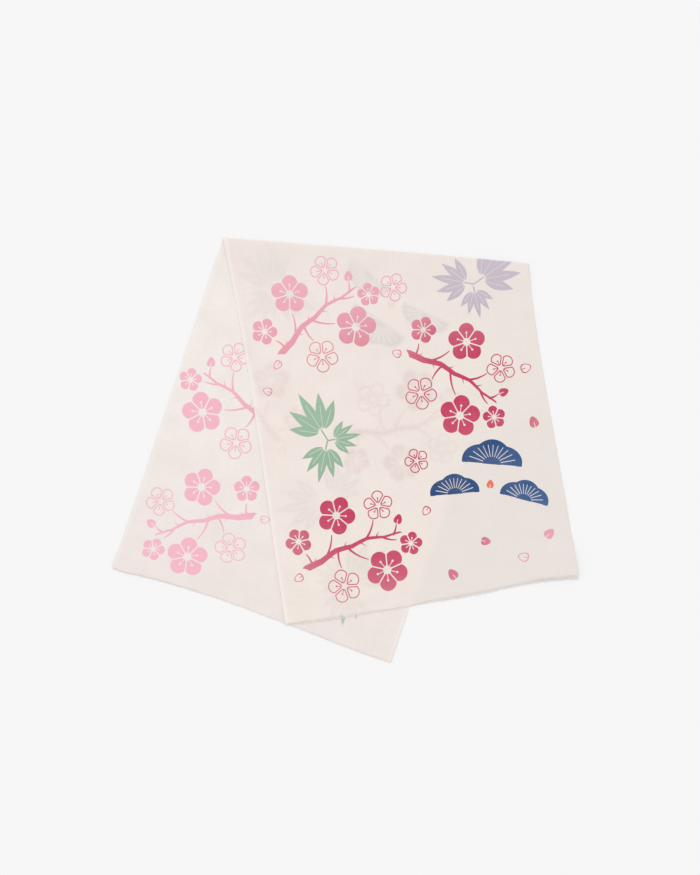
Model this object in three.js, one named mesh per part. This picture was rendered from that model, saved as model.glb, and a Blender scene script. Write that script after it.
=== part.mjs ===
// A tenugui hand towel: one cut length of plain-woven cotton, folded once on the slant and laid flat.
// Millimetres, +Z up, the surface it lies on at z = 0, the origin under the middle of its outline.
// The cloth is one closed sheet. Its place is worked out from where each point was on the flat cut length.
import * as THREE from "three";

const degrees = THREE.MathUtils.degToRad;
const { lerp, smoothstep } = THREE.MathUtils;

// The cut length
const CLOTH_WIDTH = 360; // selvedge to selvedge
const CLOTH_LENGTH = 900; // cut end to cut end
const CLOTH_THICKNESS = 1;
const MIDDLE = 0.5; // as a share
const HALF_WIDTH = CLOTH_WIDTH * MIDDLE;
const HALF_THICKNESS = CLOTH_THICKNESS * MIDDLE;

// The fold, and how the folded cloth lies
const FOLD_FROM_FRONT_END = 432; // along the middle of the cloth
const FOLD_SLANT = degrees(14); // off square to the selvedges
const FOLD_FALL = degrees(4.84); // how far the fold line falls to the right
const FOLD_RADIUS = 2.2; // of the soft roll at the fold, at mid-thickness
const FOLD_SETTLE = 40; // from the roll to where the upper layer has come down
const FOLD_SWELL = 2; // how far the roll bows out along its length
const FOLD_SWELL_AT = 0.6; // where along its length it bows out most, as a share of it from the left
const FOLD_SWELL_REACH = 60; // how far into the layers that bow is felt
const LAYER_GAP = 0.6;
const LAYER_HEIGHT = CLOTH_THICKNESS + LAYER_GAP; // the upper layer's rise above the surface

// Beside the lower layer the upper one steps down to the surface.
const STEP_START = 22; // from the lower layer's selvedge
const STEP_RUN = 20;

// How far each edge, or a stretch of it, is drawn in at its deepest. Shares of the edge say where the
// stretch runs, and a share of the stretch says where it is deepest. A selvedge is read from the front end
// to the fold, and a cut end from the left selvedge to the right one.
const EDGE_BOWS = [
  { edge: "front left selvedge", from: 0, to: 1, drawnIn: 4, deepestAt: 0.62 },
  { edge: "front right selvedge", from: 0, to: 1, drawnIn: 2.9, deepestAt: 0.65 },
  { edge: "front end", from: 0, to: 0.5, drawnIn: -2.2, deepestAt: 0.46 },
  { edge: "front end", from: 0.5, to: 1, drawnIn: 3, deepestAt: 0.58 },
  { edge: "back end", from: 0, to: 1, drawnIn: 7, deepestAt: 0.36 },
];
const END_BOW_REACH = 120; // how far from a cut end its bow is felt

// Places where the cloth stands off what it lies on: a stretch of a cut end, from one share of the width to
// another, that lifts by some height and comes down over some reach.
const LIFTED_ENDS = [
  { layer: "upper", from: 0.52, to: 1.3, height: 2.6, reach: 46 },
  { layer: "upper", from: -0.3, to: 0.26, height: 1.2, reach: 40 },
  { layer: "lower", from: -0.25, to: 0.3, height: 1.8, reach: 44 },
];

// Soft ridges in the upper layer, each a straight swell between two places on the flat cut length.
const SOFT_RIDGES = [
  { fromAcross: -120, fromAlong: 60, toAcross: -60, toAlong: 330, height: 1.1, halfWidth: 38 },
  { fromAcross: 20, fromAlong: 40, toAcross: 70, toAlong: 300, height: 0.9, halfWidth: 34 },
  { fromAcross: 120, fromAlong: 90, toAcross: 150, toAlong: 320, height: 0.8, halfWidth: 32 },
];

// The grid that the sheet is built on
const COLUMNS = 24;
const UPPER_ROWS = 28;
const SETTLE_ROWS = 5;
const ROLL_ROWS = 8;
const LOWER_ROWS = 14;

const slantCos = Math.cos(FOLD_SLANT);
const slantSin = Math.sin(FOLD_SLANT);
const halfRoll = (Math.PI / 2) * FOLD_RADIUS; // cloth taken up by each half of the roll

// A smooth hump over 0 to 1 with its top, 1, at peak.
function hump(share, peak) {
  const inside = THREE.MathUtils.clamp(share, 0, 1);
  return Math.sin(Math.PI * inside ** (Math.log(MIDDLE) / Math.log(peak)));
}

// How far an edge is drawn in at a share of its run.
function bow(edge, share) {
  return EDGE_BOWS.filter((row) => row.edge === edge).reduce(
    (sum, { from, to, drawnIn, deepestAt }) => sum + drawnIn * hump((share - from) / (to - from), deepestAt),
    0,
  );
}

// The distance of a place on the cut length from the fold line, below zero on the front of it.
function pastFold(across, along) {
  return across * slantSin + (along - FOLD_FROM_FRONT_END) * slantCos;
}

// Where a column across meets the fold, measured along the cloth.
function foldAlong(across) {
  return FOLD_FROM_FRONT_END - across * Math.tan(FOLD_SLANT);
}

// The place on the cut length once its edges are drawn in as the real ones are.
function withBowedEdges(across, along) {
  const widthShare = across / CLOTH_WIDTH + MIDDLE;
  const frontShare = along / foldAlong(across);
  const left = bow("front left selvedge", frontShare);
  const right = -bow("front right selvedge", frontShare);
  const nearFront = 1 - smoothstep(along, 0, END_BOW_REACH);
  const nearBack = smoothstep(along, CLOTH_LENGTH - END_BOW_REACH, CLOTH_LENGTH);
  return {
    across: across + lerp(left, right, widthShare),
    along: along + nearFront * bow("front end", widthShare) - nearBack * bow("back end", widthShare),
  };
}

// The height that a layer's lifted ends add, at a share of the width and a distance from the cut end.
function endLift(layer, widthShare, fromEnd) {
  const lift = (end) =>
    end.height *
    hump((widthShare - end.from) / (end.to - end.from), MIDDLE) *
    (1 - smoothstep(fromEnd, 0, end.reach));
  return LIFTED_ENDS.filter((end) => end.layer === layer).reduce((sum, end) => sum + lift(end), 0);
}

// The height that the soft ridges add at a place on the cut length.
function ridgeHeight(across, along) {
  return SOFT_RIDGES.reduce((sum, ridge) => {
    const start = new THREE.Vector2(ridge.fromAcross, ridge.fromAlong);
    const run = new THREE.Vector2(ridge.toAcross, ridge.toAlong).sub(start);
    const place = new THREE.Vector2(across, along).sub(start);
    const share = THREE.MathUtils.clamp(place.dot(run) / run.lengthSq(), 0, 1);
    const away = place.distanceTo(run.clone().multiplyScalar(share));
    return sum + ridge.height * hump(share, MIDDLE) * (1 - smoothstep(away, 0, ridge.halfWidth));
  }, 0);
}

// A point of the sheet's middle in the fold's own frame: x along the fold, y away from the layers, z up.
function foldedPoint(across, along) {
  const place = withBowedEdges(across, along);
  const past = pastFold(place.across, place.along);
  const alongFold = place.across * slantCos - (place.along - FOLD_FROM_FRONT_END) * slantSin;
  const beyondRoll = Math.max(Math.abs(past) - halfRoll, 0);
  const foldShare = (alongFold * slantCos) / CLOTH_WIDTH + MIDDLE;
  const nearRoll = 1 - smoothstep(beyondRoll, 0, FOLD_SWELL_REACH);
  const swell = FOLD_SWELL * hump(foldShare, FOLD_SWELL_AT) * nearRoll;
  const point = new THREE.Vector3(alongFold, swell - beyondRoll, HALF_THICKNESS);
  const widthShare = across / CLOTH_WIDTH + MIDDLE;
  if (beyondRoll === 0) {
    const turn = past / FOLD_RADIUS;
    point.y += FOLD_RADIUS * Math.cos(turn);
    point.z += FOLD_RADIUS * (1 - Math.sin(turn));
  } else if (past > 0) {
    point.z += endLift("lower", widthShare, CLOTH_LENGTH - along);
  } else {
    const besideLower = alongFold * slantCos + beyondRoll * slantSin - HALF_WIDTH;
    const rest = LAYER_HEIGHT * (1 - smoothstep(besideLower, STEP_START, STEP_START + STEP_RUN));
    const settled = smoothstep(beyondRoll, 0, FOLD_SETTLE);
    point.z += lerp(2 * FOLD_RADIUS, rest, settled);
    point.z += endLift("upper", widthShare, along) + ridgeHeight(across, along);
  }
  return point;
}

// How far along the cloth each row of a column lies, from the front end round the roll to the back end.
function rowPlaces(across) {
  const fold = foldAlong(across);
  const rollReach = halfRoll / slantCos;
  const settleReach = (halfRoll + FOLD_SETTLE) / slantCos;
  const stretches = [
    { from: 0, to: fold - settleReach, rows: UPPER_ROWS },
    { from: fold - settleReach, to: fold - rollReach, rows: SETTLE_ROWS },
    { from: fold - rollReach, to: fold + rollReach, rows: ROLL_ROWS },
    { from: fold + rollReach, to: CLOTH_LENGTH, rows: LOWER_ROWS },
  ];
  const places = stretches.flatMap(({ from, to, rows }) =>
    Array.from({ length: rows }, (_, row) => lerp(from, to, row / rows)),
  );
  return [...places, CLOTH_LENGTH];
}

// Face and back of the sheet as two grids of points, half the thickness either side of its middle.
function sheetGrids() {
  const columns = Array.from({ length: COLUMNS + 1 }, (_, column) => {
    const across = lerp(-HALF_WIDTH, HALF_WIDTH, column / COLUMNS);
    return rowPlaces(across).map((along) => foldedPoint(across, along));
  });
  const rows = columns[0].length;
  const at = (column, row) =>
    columns[THREE.MathUtils.clamp(column, 0, COLUMNS)][THREE.MathUtils.clamp(row, 0, rows - 1)];
  const normal = (column, row) => {
    const acrossWay = at(column + 1, row).clone().sub(at(column - 1, row));
    const alongWay = at(column, row + 1).clone().sub(at(column, row - 1));
    return acrossWay.cross(alongWay).normalize();
  };
  const offset = (distance) =>
    columns.map((points, column) =>
      points.map((point, row) => point.clone().addScaledVector(normal(column, row), distance)),
    );
  return { face: offset(HALF_THICKNESS), back: offset(-HALF_THICKNESS), rows };
}

// Joins the two grids and the rim between them into one closed surface.
function sheetGeometry() {
  const { face, back, rows } = sheetGrids();
  const positions = [...face.flat(), ...back.flat()].flatMap((point) => point.toArray());
  const faceAt = (column, row) => column * rows + row;
  const backAt = (column, row) => faceAt(column, row) + (COLUMNS + 1) * rows;
  const index = [];
  const quad = (a, b, c, d) => index.push(a, b, c, a, c, d);
  for (let column = 0; column < COLUMNS; column++) {
    for (let row = 0; row < rows - 1; row++) {
      const corners = [[column, row], [column + 1, row], [column + 1, row + 1], [column, row + 1]];
      quad(...corners.map((corner) => faceAt(...corner)));
      quad(...corners.map((corner) => backAt(...corner)).reverse());
    }
  }
  const rim = (from, to) => quad(faceAt(...to), faceAt(...from), backAt(...from), backAt(...to));
  for (let column = 0; column < COLUMNS; column++) {
    rim([column, 0], [column + 1, 0]);
    rim([column + 1, rows - 1], [column, rows - 1]);
  }
  for (let row = 0; row < rows - 1; row++) {
    rim([0, row + 1], [0, row]);
    rim([COLUMNS, row], [COLUMNS, row + 1]);
  }
  const geometry = new THREE.BufferGeometry();
  geometry.setAttribute("position", new THREE.Float32BufferAttribute(positions, 3));
  geometry.setIndex(index);
  return geometry;
}

// Turns the fold to its slant on the surface and brings the origin under the middle of the outline.
function laidOut(geometry) {
  geometry.rotateZ(-FOLD_FALL);
  geometry.computeBoundingBox();
  const middle = geometry.boundingBox.getCenter(new THREE.Vector3());
  geometry.translate(-middle.x, -middle.y, 0);
  geometry.computeVertexNormals();
  return geometry;
}

const undyedCotton = new THREE.MeshStandardMaterial({ color: 0xefe6df, roughness: 0.9, metalness: 0 });
const cloth = new THREE.Mesh(laidOut(sheetGeometry()), undyedCotton);
cloth.name = "tenugui_cloth";

const towel = new THREE.Group();
towel.add(cloth);

export default towel;
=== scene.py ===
"""The dressed model of a tenugui: a hand towel of thin dyed cotton, folded once on the slant and laid flat.

The cloth is one sheet. Each point of it is worked out from where it was on the flat cut length, and so is
the print. Sizes are millimetres until a mesh is made, and meshes are metres, on the frame's own axes.
"""

import logging
import math
from dataclasses import dataclass
from enum import Enum
from functools import cached_property
from typing import Any, NamedTuple, Union

import bpy
import numpy as np
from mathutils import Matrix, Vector


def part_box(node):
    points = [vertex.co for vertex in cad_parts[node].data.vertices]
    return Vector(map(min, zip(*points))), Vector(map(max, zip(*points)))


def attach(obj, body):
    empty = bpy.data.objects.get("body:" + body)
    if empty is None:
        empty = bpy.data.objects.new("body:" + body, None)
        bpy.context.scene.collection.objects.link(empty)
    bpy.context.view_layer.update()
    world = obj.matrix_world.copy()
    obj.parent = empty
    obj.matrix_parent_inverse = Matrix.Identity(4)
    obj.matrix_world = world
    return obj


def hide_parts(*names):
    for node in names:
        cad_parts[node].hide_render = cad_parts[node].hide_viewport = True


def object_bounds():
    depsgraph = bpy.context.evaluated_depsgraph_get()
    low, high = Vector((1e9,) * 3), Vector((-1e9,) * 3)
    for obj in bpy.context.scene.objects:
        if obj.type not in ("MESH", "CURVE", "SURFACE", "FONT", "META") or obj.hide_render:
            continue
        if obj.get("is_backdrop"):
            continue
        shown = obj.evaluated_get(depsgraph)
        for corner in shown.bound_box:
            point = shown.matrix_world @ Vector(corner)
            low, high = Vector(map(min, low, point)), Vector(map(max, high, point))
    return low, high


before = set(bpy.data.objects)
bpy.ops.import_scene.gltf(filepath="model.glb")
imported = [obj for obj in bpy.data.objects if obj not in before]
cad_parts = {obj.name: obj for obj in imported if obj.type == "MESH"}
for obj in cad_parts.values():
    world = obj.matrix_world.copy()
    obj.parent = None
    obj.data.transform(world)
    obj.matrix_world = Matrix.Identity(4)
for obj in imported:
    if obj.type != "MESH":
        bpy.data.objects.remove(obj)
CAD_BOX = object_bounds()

log = logging.getLogger("tenugui")

Array = np.ndarray
Colour = tuple[float, float, float]

MM = 0.001  # a millimetre, in metres
MIDDLE = 0.5  # as a share
FULL_TURN = 2 * math.pi
CLOTH_NODE = "tenugui_cloth"
COTTON_SLOT = "dyed_cotton"
BODY = "root"


def smoothstep(value: Array, low: float, high: float) -> Array:
    """A rise from 0 at low to 1 at high with level ends: three shares squared less two shares cubed.

    Args:
        value: What is compared with low and high.
        low: Where the rise starts.
        high: Where it ends.

    Returns:
        The height of the rise, in the shape of value.
    """
    share = np.clip((value - low) / (high - low), 0.0, 1.0)
    return share * share * (3.0 - 2.0 * share)


def hump(share: Array, peak: float = MIDDLE) -> Array:
    """A smooth hump over 0 to 1: the sine of half a turn times the share, to a power that sets its top.

    Args:
        share: Where along the hump, and level outside 0 to 1.
        peak: The share at which the hump reaches 1.

    Returns:
        The hump's height, from 0 to 1.
    """
    inside = np.clip(share, 0.0, 1.0)
    return np.sin(np.pi * inside ** (math.log(MIDDLE) / math.log(peak)))


def linear(screen: tuple[int, int, int]) -> Colour:
    """Turns a screen colour, from 0 to 255, into the light it stands for.

    Args:
        screen: Red, green and blue as a screen shows them.

    Returns:
        The same colour as shares of light, by the usual screen curve.
    """
    shares = np.array(screen) / 255
    light = np.where(shares <= 0.04045, shares / 12.92, ((shares + 0.055) / 1.055) ** 2.4)
    return tuple(float(x) for x in light)


class Edge(Enum):
    """The edges that lie a little drawn in."""

    FRONT_LEFT_SELVEDGE = "front left selvedge"
    FRONT_RIGHT_SELVEDGE = "front right selvedge"
    BACK_LEFT_SELVEDGE = "back left selvedge"
    BACK_RIGHT_SELVEDGE = "back right selvedge"
    FRONT_END = "front end"
    BACK_END = "back end"


class Layer(Enum):
    """The two layers that the fold makes. The front end is the upper one's."""

    UPPER = "upper"
    LOWER = "lower"


class EdgeBow(NamedTuple):
    """A stretch of an edge that is drawn in, by shares of the edge and then of the stretch."""

    edge: Edge
    start: float
    stop: float
    drawn_in: float
    deepest_at: float


class EndCurl(NamedTuple):
    """A stretch of a cut end that stands up, by shares of the width: up to a crest, then down to its lip."""

    layer: Layer
    start: float
    stop: float
    height: float
    reach: float  # how far from the end it starts to rise
    crest: float  # how far from the end it is highest
    lip: float  # the height left at the end itself, as a share


class SoftRidge(NamedTuple):
    """A straight swell in the upper layer, between two places on the cut length."""

    from_across: float
    from_along: float
    to_across: float
    to_along: float
    height: float
    half_width: float


class SlowWave(NamedTuple):
    """One of the slow waves that leave thin cloth a little uneven, by the flat cut length."""

    wavelength: float
    heading: float  # degrees off the width
    phase: float  # turns
    height: float


EDGE_BOWS = (
    EdgeBow(Edge.FRONT_LEFT_SELVEDGE, start=0, stop=1, drawn_in=4, deepest_at=0.62),
    EdgeBow(Edge.FRONT_RIGHT_SELVEDGE, start=0, stop=1, drawn_in=2.9, deepest_at=0.72),
    EdgeBow(Edge.BACK_LEFT_SELVEDGE, start=0, stop=1.8, drawn_in=2.5, deepest_at=0.35),
    EdgeBow(Edge.BACK_RIGHT_SELVEDGE, start=0, stop=1.8, drawn_in=1.1, deepest_at=0.5),
    EdgeBow(Edge.FRONT_END, start=0, stop=0.5, drawn_in=-2.2, deepest_at=0.46),
    EdgeBow(Edge.FRONT_END, start=0.46, stop=0.72, drawn_in=-1, deepest_at=0.5),
    EdgeBow(Edge.FRONT_END, start=0.68, stop=1, drawn_in=3.1, deepest_at=0.6),
    EdgeBow(Edge.BACK_END, start=0.06, stop=0.88, drawn_in=6, deepest_at=0.37),
)
END_CURLS = (
    EndCurl(Layer.UPPER, start=0.74, stop=1.34, height=2.8, reach=60, crest=6, lip=0.6),
    EndCurl(Layer.UPPER, start=0.4, stop=1, height=0.5, reach=30, crest=6, lip=0),
    EndCurl(Layer.UPPER, start=-0.2, stop=0.1, height=0.9, reach=26, crest=4, lip=0.5),
    EndCurl(Layer.UPPER, start=0.03, stop=0.5, height=0.25, reach=12, crest=6, lip=0),
    EndCurl(Layer.LOWER, start=-0.2, stop=0.3, height=1, reach=30, crest=4, lip=0.5),
)
SOFT_RIDGES = (
    SoftRidge(from_across=-120, from_along=60, to_across=-60, to_along=330, height=0.7, half_width=38),
    SoftRidge(from_across=20, from_along=40, to_across=70, to_along=300, height=0.6, half_width=34),
    SoftRidge(from_across=120, from_along=90, to_across=150, to_along=320, height=0.6, half_width=32),
)
SLOW_WAVES = (
    SlowWave(wavelength=148, heading=18, phase=0.1, height=0.3),
    SlowWave(wavelength=92, heading=71, phase=0.45, height=0.2),
    SlowWave(wavelength=61, heading=128, phase=0.8, height=0.14),
    SlowWave(wavelength=37, heading=9, phase=0.3, height=0.07),
)


@dataclass(frozen=True)
class CutLength:
    """The cloth before it is folded."""

    width: float = 360  # selvedge to selvedge
    length: float = 900  # cut end to cut end
    thickness: float = 0.32

    @property
    def half_width(self) -> float:
        """From the middle of the cloth to a selvedge."""
        return self.width * MIDDLE


@dataclass(frozen=True)
class SlantFold:
    """The one fold, by where its line crosses the cut length."""

    from_front_end: float = 432  # along the middle of the cloth
    slant: float = math.radians(14)  # off square to the selvedges
    fall: float = math.radians(4.84)  # how far the fold line falls to the right
    radius: float = 1.1  # of the soft roll, at mid-thickness
    settle: float = 40  # from the roll to where the upper layer has come down
    swell: float = 1.2  # how far the roll bows out along its length
    swell_at: float = 0.6  # where along it that is most, as a share from the left
    swell_reach: float = 60  # how far into the layers that bow is felt

    @property
    def cos(self) -> float:
        """Cosine of the slant."""
        return math.cos(self.slant)

    @property
    def sin(self) -> float:
        """Sine of the slant."""
        return math.sin(self.slant)

    @property
    def half_roll(self) -> float:
        """Cloth taken up by each half of the roll: a quarter of its circle."""
        return FULL_TURN / 4 * self.radius

    def past(self, across: Array, along: Array) -> Array:
        """Distance from the fold line on the cut length, below zero on the front of it."""
        return across * self.sin + (along - self.from_front_end) * self.cos

    def along_at(self, across: Array) -> Array:
        """Where a column across meets the fold line, measured along the cloth."""
        return self.from_front_end - across * math.tan(self.slant)

    def mirrored(self, across: Array, along: Array) -> tuple[Array, Array]:
        """The place that lies against a place once the cloth is folded: its mirror image in the fold line.

        Args:
            across: Places across the cut length.
            along: Places along it.

        Returns:
            The mirrored places, across and along. They may lie off the cloth.
        """
        twice = 2 * self.past(across, along)
        return across - twice * self.sin, along - twice * self.cos


@dataclass(frozen=True)
class LaidCloth:
    """How the folded cloth lies: every place on the cut length, taken to where it rests."""

    cut: CutLength = CutLength()
    fold: SlantFold = SlantFold()
    clearance: float = 0.07  # under the lower layer
    layer_gap: float = 0.1
    step_start: float = 4  # past the lower layer's selvedge the upper one comes down to the surface
    step_run: float = 60
    end_bow_reach: float = 120  # how far from a cut end its bow is felt
    relief_start: float = 26  # how far from the roll the waves and ridges reach their height
    uncovered_run: float = 14  # how fast the lower layer's waves die out under the upper one
    pucker_wavelength: float = 19
    pucker_height: float = 0.22
    pucker_reach: float = 9  # in from a selvedge
    pucker_sway: float = 2  # how far the puckers' spacing wanders, in radians
    pucker_drift: float = 5  # how slowly it wanders, in their wavelengths
    outline_steps: int = 201  # places each way at which the outline is looked for

    def bow(self, edge: Edge, share: Array) -> Array:
        """How far an edge is drawn in, at shares of its run."""
        rows = [row for row in EDGE_BOWS if row.edge is edge]
        return sum(r.drawn_in * hump((share - r.start) / (r.stop - r.start), r.deepest_at) for r in rows)

    def drawn_in(self, across: Array, along: Array) -> tuple[Array, Array]:
        """Moves places by the bows of the edges, fading from one edge to the other.

        Args:
            across: Places across the cut length.
            along: Places along it.

        Returns:
            The moved places, across and along.
        """
        width_share = across / self.cut.width + MIDDLE
        at_fold = self.fold.along_at(across)
        front_share = along / at_fold
        back_share = (along - at_fold) / (self.cut.length - at_fold)
        left = self.bow(Edge.FRONT_LEFT_SELVEDGE, front_share) + self.bow(Edge.BACK_LEFT_SELVEDGE, back_share)
        right = -self.bow(Edge.FRONT_RIGHT_SELVEDGE, front_share)
        right = right - self.bow(Edge.BACK_RIGHT_SELVEDGE, back_share)
        near_front = 1 - smoothstep(along, 0, self.end_bow_reach)
        near_back = smoothstep(along, self.cut.length - self.end_bow_reach, self.cut.length)
        front = near_front * self.bow(Edge.FRONT_END, width_share)
        back = near_back * self.bow(Edge.BACK_END, width_share)
        return across + left + (right - left) * width_share, along + front - back

    def curl(self, layer: Layer, across: Array, from_end: Array) -> Array:
        """Height of a layer's curled end: up from its reach to the crest, then part of the way down.

        Args:
            layer: The layer whose end it is.
            across: Places across the cut length.
            from_end: Distances from the cut end.

        Returns:
            The height added there.
        """
        width_share = across / self.cut.width + MIDDLE
        height = np.zeros_like(across)
        for row in END_CURLS:
            if row.layer is layer:
                inner = 1 - smoothstep(from_end, row.crest, row.reach)
                outer = row.lip + (1 - row.lip) * smoothstep(from_end, 0, row.crest)
                stretch = hump((width_share - row.start) / (row.stop - row.start))
                height = height + row.height * stretch * inner * outer
        return height

    def ridges(self, across: Array, along: Array) -> Array:
        """Height of the soft ridges: a hump along each, falling away smoothly to its half width."""
        height = np.zeros_like(across)
        for row in SOFT_RIDGES:
            run = np.array([row.to_across - row.from_across, row.to_along - row.from_along])
            place = np.stack([across - row.from_across, along - row.from_along], axis=-1)
            share = np.clip(place @ run / (run @ run), 0, 1)
            away = np.linalg.norm(place - share[..., None] * run, axis=-1)
            height = height + row.height * hump(share) * (1 - smoothstep(away, 0, row.half_width))
        return height

    def waves(self, across: Array, along: Array) -> Array:
        """Height of the slow waves and of the puckers along the selvedges, never below zero.

        Each wave is half its height times one plus a sine of the distance along its heading.

        Args:
            across: Places across the cut length.
            along: Places along it.

        Returns:
            The height there.
        """
        height = np.zeros_like(across)
        for row in SLOW_WAVES:
            heading = math.radians(row.heading)
            distance = across * math.cos(heading) + along * math.sin(heading)
            turns = distance / row.wavelength + row.phase
            height = height + row.height / 2 * (1 + np.sin(FULL_TURN * turns))
        drift = np.sin(along / self.pucker_wavelength / self.pucker_drift + across)
        pucker = 1 + np.sin(FULL_TURN * along / self.pucker_wavelength + self.pucker_sway * drift)
        from_selvedge = self.cut.half_width - np.abs(across)
        near = 1 - smoothstep(from_selvedge, 0, self.pucker_reach)
        return height + self.pucker_height / 2 * pucker * near

    def covered(self, across: Array, along: Array) -> Array:
        """How much of a place on the lower layer the upper one lies over, fading out beside it."""
        over_across, over_along = self.fold.mirrored(across, along)
        inside = np.minimum(self.cut.half_width - np.abs(over_across), over_along)
        return smoothstep(inside, -self.uncovered_run, 0)

    def folded(self, across: Array, along: Array) -> Array:
        """The middle of the sheet with the fold line level and its middle at the origin.

        In this frame x runs along the fold, y away from the layers and z up. A point keeps its distance
        from the fold line, on the upper layer short of it and on the lower layer past it, and on the roll
        it goes half round a circle. The heights of curls, ridges and waves are added to that.

        Args:
            across: Places across the cut length.
            along: Places along it.

        Returns:
            Points in millimetres, one more axis than across.
        """
        cut, fold = self.cut, self.fold
        moved_across, moved_along = self.drawn_in(across, along)
        past = fold.past(moved_across, moved_along)
        along_fold = moved_across * fold.cos - (moved_along - fold.from_front_end) * fold.sin
        beyond = np.maximum(np.abs(past) - fold.half_roll, 0)
        fold_share = along_fold * fold.cos / cut.width + MIDDLE
        swell = fold.swell * hump(fold_share, fold.swell_at) * (1 - smoothstep(beyond, 0, fold.swell_reach))

        settled = smoothstep(beyond, 0, fold.settle)
        relief = smoothstep(beyond, 0, self.relief_start)
        beside_lower = fold.mirrored(moved_across, moved_along)[0] - cut.half_width
        on_lower = 1 - smoothstep(beside_lower, self.step_start, self.step_start + self.step_run)
        waves = self.waves(across, along)
        upper = 2 * fold.radius * (1 - settled) + settled * on_lower * (cut.thickness + self.layer_gap)
        upper = upper + relief * (waves + self.ridges(across, along)) + self.curl(Layer.UPPER, across, along)
        lower = relief * waves * (1 - self.covered(across, along))
        lower = lower + self.curl(Layer.LOWER, across, cut.length - along)

        turn = np.clip(past / fold.radius, -FULL_TURN / 4, FULL_TURN / 4)
        on_roll = fold.radius * (1 - np.sin(turn))
        height = np.where(beyond > 0, np.where(past > 0, lower, upper), on_roll)
        outward = swell - beyond + fold.radius * np.cos(turn) * (beyond == 0)
        return np.stack([along_fold, outward, self.clearance + cut.thickness * MIDDLE + height], axis=-1)

    def turned(self, across: Array, along: Array) -> Array:
        """The folded points with the fold line turned to its fall."""
        points = self.folded(across, along)
        cos, sin = math.cos(self.fold.fall), math.sin(self.fold.fall)
        x, y, z = points[..., 0], points[..., 1], points[..., 2]
        return np.stack([x * cos + y * sin, y * cos - x * sin, z], axis=-1)

    @cached_property
    def shift(self) -> Array:
        """What brings the middle of the cloth's outline to the middle of its solid's, in millimetres."""
        steps = np.linspace(0, 1, self.outline_steps)
        across, share = np.meshgrid((steps - MIDDLE) * self.cut.width, steps, indexing="ij")
        points = self.turned(across, share * self.cut.length)[..., :2].reshape(-1, 2)
        low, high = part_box(CLOTH_NODE)
        solid = np.array(low + high)[:2] / 2 / MM
        return np.array([*(solid - (points.min(0) + points.max(0)) / 2), 0.0])

    def surface(self, across: Array, along: Array) -> Array:
        """The middle of the sheet where it lies, in millimetres on the frame's axes."""
        return self.turned(across, along) + self.shift

    def write_places(self, mesh: bpy.types.Mesh, across: Array, along: Array) -> None:
        """Writes to a mesh's points where they were on the cut length, and how far from its edges and fold.

        The attribute cut_length has the place across and along. The attribute from_edges has the distances
        in from the nearer selvedge, past the fold, and in from the lower layer's right selvedge.

        Args:
            mesh: The mesh.
            across: Each point's place across the cut length.
            along: Each point's place along it.
        """
        from_selvedge = self.cut.half_width - np.abs(across)
        from_fold = self.fold.past(across, along)
        on_lower = self.cut.half_width - self.fold.mirrored(across, along)[0]
        sets = {
            "cut_length": np.stack([across, along, np.zeros_like(across)], axis=-1),
            "from_edges": np.stack([from_selvedge, from_fold, on_lower], axis=-1),
        }
        for name, values in sets.items():
            layer = mesh.attributes.new(name, "FLOAT_VECTOR", "POINT")
            layer.data.foreach_set("vector", values.astype(np.float32).ravel())


class Shape(Enum):
    """The shapes that the stencil was cut with."""

    BLOSSOM = 0
    BUD = 1
    LEAF_FAN = 2
    PINE_CROWN = 3
    TWIG = 4
    SHOOT = 5


class Dye(Enum):
    """Each dye's screen colours, where it was poured and where it has run thin."""

    PLUM = ((190, 54, 92), (238, 180, 193))
    BAMBOO = ((143, 176, 150), (170, 196, 174))
    MIST = ((183, 171, 185), (196, 186, 196))
    PINE = ((34, 68, 118), (62, 98, 146))
    BERRY = ((228, 104, 88), (232, 130, 112))


class Motif(NamedTuple):
    """One cut-out of the stencil, by its place in its spray or on the cut length."""

    shape: Shape
    across: float
    along: float
    size: float
    turn: float = 0  # degrees, to the left
    outlined: bool = False
    dye: Union[Dye, None] = None  # the spray's own, if none


class SprayPlace(NamedTuple):
    """Where a spray is laid on the cut length."""

    spray: tuple[Motif, ...]
    across: float
    along: float
    turn: float
    dye: Dye


PLUM_SPRAY = (
    Motif(Shape.TWIG, 0, 0, size=62),
    Motif(Shape.SHOOT, -53, 4, size=16, turn=10),
    Motif(Shape.BLOSSOM, -59, 37, size=16, turn=10),
    Motif(Shape.SHOOT, -34, 8, size=27, turn=-35),
    Motif(Shape.BLOSSOM, -5, 50, size=23, turn=30),
    Motif(Shape.SHOOT, -17, 11, size=22, turn=170),
    Motif(Shape.BLOSSOM, -25, -32, size=20, outlined=True),
    Motif(Shape.SHOOT, -6, 10, size=30, turn=-140),
    Motif(Shape.BLOSSOM, 30, -33, size=25, turn=20),
    Motif(Shape.SHOOT, 19, 11, size=24, turn=-42),
    Motif(Shape.BLOSSOM, 47, 43, size=18, turn=-15, outlined=True),
    Motif(Shape.SHOOT, 38, 6, size=18, turn=-122),
    Motif(Shape.BLOSSOM, 68, -14, size=14, turn=40),
    Motif(Shape.SHOOT, 51, 3, size=14, turn=-38),
    Motif(Shape.BUD, 64, 19, size=7, turn=-38),
    Motif(Shape.BUD, -74, -4, size=7, turn=100, outlined=True),
)
BAMBOO_SPRAY = (
    Motif(Shape.LEAF_FAN, 0, 9, size=58),
    Motif(Shape.LEAF_FAN, -5, -5, size=46, turn=135),
    Motif(Shape.LEAF_FAN, 5, -3, size=36, turn=-112),
)
PINE_SPRAY = (
    Motif(Shape.PINE_CROWN, 0, 26, size=38),
    Motif(Shape.PINE_CROWN, -42, -14, size=31, turn=10),
    Motif(Shape.PINE_CROWN, 42, -14, size=31, turn=-10),
    Motif(Shape.BUD, 0, 2, size=6, dye=Dye.BERRY),
)
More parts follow.
